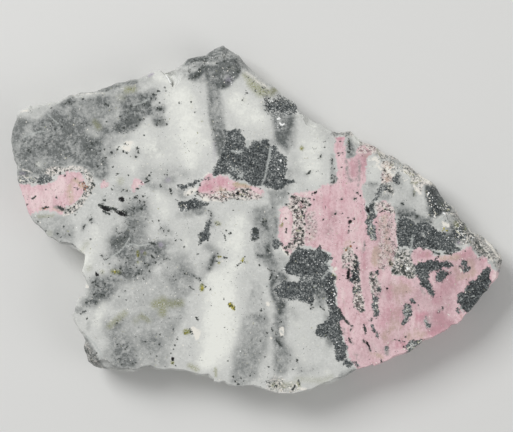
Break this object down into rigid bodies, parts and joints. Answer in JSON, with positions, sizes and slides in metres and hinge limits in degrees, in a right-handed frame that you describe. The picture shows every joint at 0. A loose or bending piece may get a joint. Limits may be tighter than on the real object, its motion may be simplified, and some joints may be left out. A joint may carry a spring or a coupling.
{
  "type": "pyroxmangite specimen",
  "caption": "Sawn slab of white and grey quartz rock with pink pyroxmangite and dark ore patches, two flat faces and a broken, chipped rim.",
  "frame": {"origin": "middle of the slab's outline seen from above, on the flat back face that it rests on", "axes": "+Z points out of the shown sawn face, +X runs along the slab's length to the pink end, +Y to its peaked edge"},
  "size_m": [0.1236, 0.0877, 0.012],
  "materials": {
    "rock": "finely sawn face with patches of milky quartz, pink pyroxmangite and dark grey ore; rough broken rim"
  },
  "bodies": {
    "root": {"slab": "rock"}
  },
  "joints": []
}
